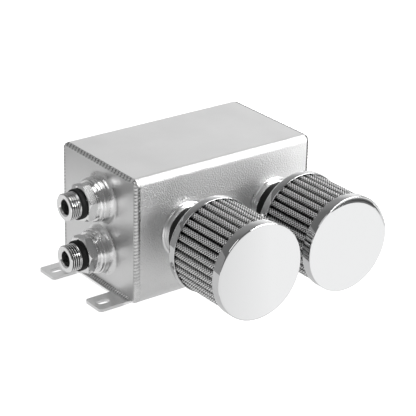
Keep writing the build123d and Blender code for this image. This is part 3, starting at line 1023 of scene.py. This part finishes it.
def pleat_line(crest_r):
    """One pleat's outline in the plane as (angle, radius) points, from valley to valley."""
    half_pitch = pi / PLEAT_COUNT * crest_r
    valley_r = crest_r - PLEAT_DEPTH
    shoulder_r = crest_r - CREST_DROP
    line = rounded([
        (-half_pitch, valley_r),
        (-half_pitch + VALLEY_HALF, valley_r, VALLEY_CURVE),
        (-CREST_HALF, shoulder_r, SHOULDER_CURVE),
        (0.0, crest_r, CREST_CURVE),
        (CREST_HALF, shoulder_r, SHOULDER_CURVE),
        (half_pitch - VALLEY_HALF, valley_r, VALLEY_CURVE),
        (half_pitch, valley_r),
    ], closed=False)
    return [(across / crest_r, radius) for across, radius in line[:-1]]


def pleats(side, seat):
    """Pleated band under its gauze, rounded at every fold, with a plain inner face."""
    start, end = reach(f"{side}_filter_pleats", seat)
    crest_r = half_width(f"{side}_filter_neck")
    line = pleat_line(crest_r)
    turns = [2 * pi * count / PLEAT_COUNT for count in range(PLEAT_COUNT)]
    outline = np.array([(turn + angle, radius) for turn in turns for angle, radius in line])
    angles, radii = outline.T
    flat = np.stack([radii * np.cos(angles), radii * np.sin(angles)], axis=-1)
    steps = np.linalg.norm(np.diff(np.vstack([flat, flat[:1]]), axis=0), axis=1)
    across = np.concatenate([[0], np.cumsum(steps)])
    levels = np.linspace(start, end, PLEAT_LEVELS)
    wobbles = np.abs(np.sin(levels * WOBBLE_ALONG + angles[:, None] * WOBBLE_AROUND))
    inner_r = crest_r - PLEAT_DEPTH - PLEAT_BACKING
    spread = np.full((len(angles), PLEAT_LEVELS + 2), inner_r)
    spread[:, :PLEAT_LEVELS] = radii[:, None] - WOBBLE * wobbles
    points = placed(around_axis(spread, angles, np.append(levels, [end, start])), seat)
    inner_end = end + PLEAT_DEPTH
    inner_start = inner_end + (end - start)
    along = np.append(levels, [inner_end, inner_start, inner_start + 2 * PLEAT_DEPTH])
    mesh = grid_mesh(f"{side}_pleats", points, True, across, along)
    # How deep each point lies in the folds, for the painted shade
    fold_shade_depth = np.clip((crest_r - radii) / PLEAT_DEPTH, 0, 1)
    mark_painted_shade(mesh, np.broadcast_to(fold_shade_depth[:, None], points.shape[:2]))
    finished(f"{side}_pleats", mesh, "filter_cloth", f"{side}_filter", f"{side}_filter_pleats")


def filter_pieces(side):
    """One breather filter and the spigot that carries it."""
    seat = filter_seat(side)
    spigot(side, seat)
    leg = SPIGOT_WELD_LEG
    node = f"{side}_spigot_weld"
    flared_weld(f"{side}_spigot_flare", seat, SPIGOT_BOSS_R, leg + FLARE_TOP, leg, node)
    neck(side, seat)
    chrome_ring(side, seat)
    chrome_cap(side, seat)
    pleats(side, seat)


# Weld beads on the tank

def straight(start, end):
    """Points of a straight run, a bead's step apart."""
    start, end = Vector(start), Vector(end)
    count = max(2, int((end - start).length / BEAD_STEP))
    return [tuple(start.lerp(end, step / count)) for step in range(count + 1)]


def corner_path(half_depth, bottom, top):
    """Rounded path in the YZ plane, from the floor's front edge over the top to its back edge."""
    radius = CORNER_BEND_R
    bends = [
        (-half_depth + radius, bottom + radius, pi * 1.5, pi),
        (-half_depth + radius, top - radius, pi, pi / 2),
        (half_depth - radius, top - radius, pi / 2, 0),
        (half_depth - radius, bottom + radius, 0, -pi / 2),
    ]
    arc_steps = int(radius * pi / 2 / BEAD_STEP)
    points, outs = [], []
    for y, z, first, last in bends:
        if points:
            begin = Vector(points[-1])
            finish = Vector((y + radius * cos(first), z + radius * sin(first)))
            count = int((finish - begin).length / BEAD_STEP)
            for step in range(1, count):
                points.append(tuple(begin.lerp(finish, step / count)))
                outs.append((cos(first), sin(first)))
        for step in range(arc_steps + 1):
            angle = first + (last - first) * step / arc_steps
            points.append((y + radius * cos(angle), z + radius * sin(angle)))
            outs.append((cos(angle), sin(angle)))
    return points, outs


def bead(name, node, path, outs, ends, out_r, end_r, shares=1.0, pitches=RIPPLE_PITCH, painted_shade_toe=None):
    """Closed weld bead along an open path; outs and ends are its section's two directions."""
    path = np.array(path)
    steps = np.linalg.norm(np.diff(path, axis=0), axis=1)
    length = np.concatenate([[0], np.cumsum(steps)])
    strokes = np.concatenate([[0], np.cumsum(steps / np.broadcast_to(pitches, len(path))[1:])])
    angles = np.arange(BEAD_SIDES) * 2 * pi / BEAD_SIDES
    crown = np.cos(angles - BEAD_FACING)
    twist = RIPPLE_TWIST * np.sin(angles - BEAD_FACING)
    heights = stacked_ripple(strokes[:, None] + RIPPLE_BOW * crown + twist)
    shares = np.broadcast_to(shares, len(path))[:, None]
    depth = RIPPLE_DEPTH * shares
    ripple = heights * depth * np.clip(crown + RIPPLE_WRAP, 0, 1)
    out_part = (out_r - depth + ripple) * np.cos(angles)
    end_part = (np.broadcast_to(end_r, len(path))[:, None] - depth + ripple) * np.sin(angles)
    from_end = np.minimum(length, length[-1] - length)
    taper = np.sqrt(np.clip(from_end / BEAD_TAPER, BEAD_THINNEST, 1))[:, None]
    points = path[:, None, :]
    for part, direction in ((out_part, outs), (end_part, ends)):
        directions = np.broadcast_to(direction, path.shape)[:, None, :]
        points = points + (part * taper)[:, :, None] * directions
    turn = np.arange(BEAD_SIDES + 1) * 2 * pi / BEAD_SIDES * out_r
    mesh = grid_mesh(name, points, False, length, turn)
    # Painted shade in the ripple valleys, by how deep each point lies
    painted_bead_shade = (1 - heights) * shares
    # Painted shade along one side of the section, up to the toe angle
    if painted_shade_toe is not None:
        turned_in = (angles + pi) % (2 * pi) - pi
        painted_bead_shade = np.maximum(painted_bead_shade, np.clip((painted_shade_toe - turned_in) / PAINTED_SHADE_TOE_FADE, 0, 1))
    mark_painted_shade(mesh, painted_bead_shade)
    close_ends(mesh)
    finished(name, mesh, "weld_metal", "tank", node)


def close_ends(mesh):
    """Fills the open ends of a mesh."""
    caps = bmesh.new()
    caps.from_mesh(mesh)
    bmesh.ops.holes_fill(caps, edges=[edge for edge in caps.edges if edge.is_boundary])
    caps.to_mesh(mesh)
    caps.free()


def ripple_share(height, facing_up):
    """Depth of the end beads' ripples: full on the top, shallow upright, none at the feet."""
    upright = min(1.0, max(0.0, (height - SMOOTH_FOOT) / SMOOTH_FADE))
    return max(facing_up, UPRIGHT_RIPPLE * upright)


def end_beads():
    """Rippled bead over the corner between each end plate and the wrap."""
    low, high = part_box("tank_wrap")
    path, outs = corner_path(high.y - CORNER_IN, low.z + CORNER_IN, high.z - CORNER_IN)
    directions = [(0, y, z) for y, z in outs]
    for side, sign in SIDES:
        wrap_end = outer_face(side, sign) - sign * END_PLATE
        fronts = [max(0.0, -y) if side == "left" else 0.0 for y, z in outs]
        points = []
        for (y, z), front in zip(path, fronts):
            x = wrap_end + sign * (CORNER_PAST - FRONT_INWARD * front)
            points.append((x, y - FRONT_PROUD * front, z))
        bead(
            f"{side}_corner_bead",
            f"{side}_end_weld",
            points,
            directions,
            (sign, 0, 0),
            CORNER_OUT_R,
            [CORNER_END_R + FRONT_WIDER * front for front in fronts],
            shares=[ripple_share(point[2], up) for point, (y, up) in zip(points, outs)],
            pitches=[RIPPLE_PITCH + (TOP_PITCH - RIPPLE_PITCH) * max(0.0, up) for y, up in outs],
            painted_shade_toe=RIGHT_PAINTED_SHADE_TOE if side == "right" else None,
        )


def foot_beads():
    """Rippled fillet between each end plate and the floor's lip."""
    for side, sign in SIDES:
        node = f"{side}_foot_weld"
        low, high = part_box(node)
        x = low.x if sign > 0 else high.x
        start = (x, low.y + FOOT_INSET, low.z)
        path = straight(start, (x, high.y - FOOT_INSET, low.z))
        bead(f"{side}_foot_bead", node, path, (sign, 0, 0), (0, 0, 1), FOOT_BEAD_R, FOOT_BEAD_R)


def seam_bead():
    """Bead in the open corner along the back of the floor."""
    low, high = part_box("rear_seam_weld")
    radius = (high.z - low.z) / 2
    y, z = high.y - radius - SEAM_WIDER, low.z + radius
    path = straight((low.x, y, z), (high.x, y, z))
    out_r = radius + SEAM_WIDER
    bead("seam_bead", "rear_seam_weld", path, (0, 1, 0), (0, 0, -1), out_r, radius)


# Drain

def drain_plug(seat):
    """Hexagon-headed plug with its thread."""
    shank_end, head_front = reach("drain_plug", seat)
    head_back = reach("drain_washer", seat)[1]
    thread_start = shank_end + DRAIN_TIP
    profile = [
        (shank_end, 0.0),
        (shank_end, DRAIN_THREAD_R - DRAIN_TIP),
        (thread_start, DRAIN_THREAD_R),
    ]
    profile += thread_stations(thread_start, head_back, DRAIN_PITCH, DRAIN_THREAD_R)
    profile += hex_stations(head_back, head_front, DRAIN_FLATS) + [(head_front, 0.0)]

    def radius_at(angles, along, radii):
        in_hex = (along >= head_back) & (radii > DRAIN_FLATS / 2)
        radii = cut_hexagon(angles, radii, in_hex, DRAIN_FLATS)
        in_thread = (along > shank_end) & (along < head_back) & (radii > 0)
        depth = DRAIN_THREAD_DEPTH
        cut = threaded(angles, along, radii, shank_end, head_back, DRAIN_PITCH, depth)
        return np.where(in_thread, cut, radii)

    mesh = turned_mesh("drain_screw", profile, seat, radius_at=radius_at)
    finished("drain_screw", mesh, "plated_steel", "drain_plug", "drain_plug")


def drain_washer(seat):
    """Soft washer under the plug's head."""
    bore_r = DRAIN_THREAD_R + DRAIN_WASHER_GAP
    tags = ("soft_washer", "drain_washer", "drain_washer")
    plain_ring("drain_seal", seat, bore_r, DRAIN_WASHER_R, TURNED_EDGE, *tags)


def drain_bung(seat):
    """Boss in the end plate that the plug screws into."""
    inside, front = reach("drain_bung", seat)
    bore_r = DRAIN_THREAD_R + DRAIN_BUNG_GAP
    corners = [
        (inside, bore_r),
        (inside, DRAIN_REGISTER_R),
        (0, DRAIN_REGISTER_R),
        (0, DRAIN_BUNG_R),
        (front, DRAIN_BUNG_R, DRAIN_BUNG_EDGE),
        (front, bore_r, DRAIN_BORE_EDGE),
    ]
    turned_piece("drain_boss", corners, seat, "turned_aluminium", "tank", "drain_bung")


def drain_pieces():
    """Threaded plug, washer, bung and its bead."""
    seat = end_seat("right", 1, "drain_bung")
    drain_plug(seat)
    drain_washer(seat)
    drain_bung(seat)
    leg = DRAIN_WELD_LEG
    flared_weld("drain_flare", seat, DRAIN_BUNG_R, leg + FLARE_TOP, leg, "drain_bung_weld")


# Studio

def stage_plane(name, corners, material):
    """Flat studio surface from its four corners."""
    mesh = bpy.data.meshes.new(name)
    mesh.from_pydata(corners, [], [(0, 1, 2, 3)])
    mesh.materials.append(material)
    plane = bpy.data.objects.new(name, mesh)
    bpy.context.scene.collection.objects.link(plane)
    return plane


def seen_in_gloss_only(plane):
    """The plane shows in reflections and nowhere else."""
    plane.visible_camera = False
    plane.visible_diffuse = False
    plane.visible_shadow = False


def matt(name, white, glow):
    """Dull studio surface with a soft glow of its own, as blank gives it."""
    return blank(
        name,
        Base_Color=(white, white, white, 1),
        Roughness=MATT_ROUGH,
        Specular_IOR_Level=0.0,
        Emission_Color=(1, 1, 1, 1),
        Emission_Strength=glow,
    )


def graded_floor():
    """Glowing floor for reflections, dimmer where the left cap's outer side looks: a painted darker
    reflection there.
    """
    material, tree, shader = matt("graded_floor", 0, MIRRORED_GLOW)
    across = dot(tree, place_of(tree), DIM_ACROSS)
    glow = between(tree, across, DIM_GLOW, MIRRORED_GLOW, DIM_START, DIM_END)
    tree.links.new(glow, shader.inputs["Emission Strength"])
    return material


def level_square(x, y, z):
    """Corners of a level rectangle between two spans."""
    return [(x[0], y[0], z), (x[1], y[0], z), (x[1], y[1], z), (x[0], y[1], z)]


def studio_floor():
    """Pale floor for the camera, and a mirrored one with greyer patches of painted shade for
    reflections.
    """
    span = (-FLOOR_HALF, FLOOR_HALF)
    pale = matt("pale_floor", FLOOR_WHITE, FLOOR_GLOW)[0]
    floor = stage_plane("floor", level_square(span, span, -FLOOR_DROP), pale)
    floor.visible_glossy = False
    corners = level_square(span, span, -MIRRORED_DROP)
    seen_in_gloss_only(stage_plane("floor_in_gloss", corners, graded_floor()))
    # Painted shade on the floor that reflections show
    for name, x, y, glow in FLOOR_PATCHES:
        material = matt(name, DULL_WHITE, glow)[0]
        seen_in_gloss_only(stage_plane(name, level_square(x, y, -PATCH_DROP), material))


def dark_card():
    """Dark upright card behind the ports, seen only in reflections: a painted dark reflection that
    hides the far floor from the metal.
    """
    away = Vector(CARD_TOWARDS).normalized()
    foot = away * CARD_DISTANCE
    across = Vector((0, 0, 1)).cross(away) * CARD_HALF
    lift = Vector((0, 0, CARD_HEIGHT))
    corners = [foot - across, foot + across, foot + across + lift, foot - across + lift]
    material = matt("dark_card", DULL_WHITE, CARD_GLOW)[0]
    seen_in_gloss_only(stage_plane("dark_card", corners, material))


def studio_sky():
    """Grey room that brightens towards one side."""
    world = bpy.data.worlds.new("studio")
    bpy.context.scene.world = world
    world.use_nodes = True
    tree = world.node_tree
    view = add(tree, "ShaderNodeTexCoord").outputs["Generated"]
    level = dot(tree, view, tuple(Vector(SKY_AIM).normalized()))
    angle = maths(tree, "ARCCOSINE", level)
    ramp = add(tree, "ShaderNodeValToRGB", {"Fac": times(tree, angle, 2 / pi)})
    stops = ramp.color_ramp.elements
    while len(stops) < len(SKY_STOPS):
        stops.new(0.5)
    for stop, (degrees_off, glow) in zip(stops, SKY_STOPS):
        stop.position = degrees_off / SKY_WIDEST
        stop.color = (glow / SKY_TOP, glow / SKY_TOP, glow / SKY_TOP, 1)
    background = tree.nodes["Background"]
    tree.links.new(ramp.outputs["Color"], background.inputs["Color"])
    background.inputs["Strength"].default_value = SKY_TOP


def softbox(name, direction, width, height, power):
    """Large area light that faces the object."""
    light = bpy.data.lights.new(name, "AREA")
    light.shape = "RECTANGLE"
    light.size = width
    light.size_y = height
    light.energy = power
    lamp = bpy.data.objects.new(name, light)
    bpy.context.scene.collection.objects.link(lamp)
    aim = Vector(direction).normalized()
    lamp.location = CAMERA_TARGET + aim * SOFTBOX_AWAY
    lamp.rotation_euler = aim.to_track_quat("Z", "Y").to_euler()


def camera():
    """Camera at the photograph's viewing angle."""
    turn, rise = CAMERA_TURN, CAMERA_RISE
    back = Vector((sin(turn) * cos(rise), -cos(turn) * cos(rise), sin(rise)))
    right = Vector((cos(turn), sin(turn), 0))
    up = back.cross(right)
    rolled_right = right * cos(CAMERA_ROLL) + up * sin(CAMERA_ROLL)
    rolled_up = up * cos(CAMERA_ROLL) - right * sin(CAMERA_ROLL)
    data = bpy.data.cameras.new("camera")
    data.sensor_width = SENSOR
    data.lens = CAMERA_LENS
    data.clip_start = CAMERA_NEAR
    data.clip_end = CAMERA_FAR
    view = bpy.data.objects.new("camera", data)
    bpy.context.scene.collection.objects.link(view)
    aside = rolled_right * CAMERA_SLIDE + rolled_up * CAMERA_LIFT
    place = CAMERA_TARGET + aside + back * CAMERA_DISTANCE
    axes = Matrix((rolled_right, rolled_up, back)).transposed().to_4x4()
    view.matrix_world = Matrix.Translation(place) @ axes
    bpy.context.scene.camera = view


bpy.context.scene.view_settings.view_transform = "Standard"
camera()
studio_floor()
dark_card()
studio_sky()
for settings in SOFTBOXES:
    softbox(*settings)
dress_cad_nodes()
for port in ("upper", "lower"):
    port_pieces(port)
for side in ("left", "right"):
    filter_pieces(side)
end_beads()
foot_beads()
seam_bead()
drain_pieces()
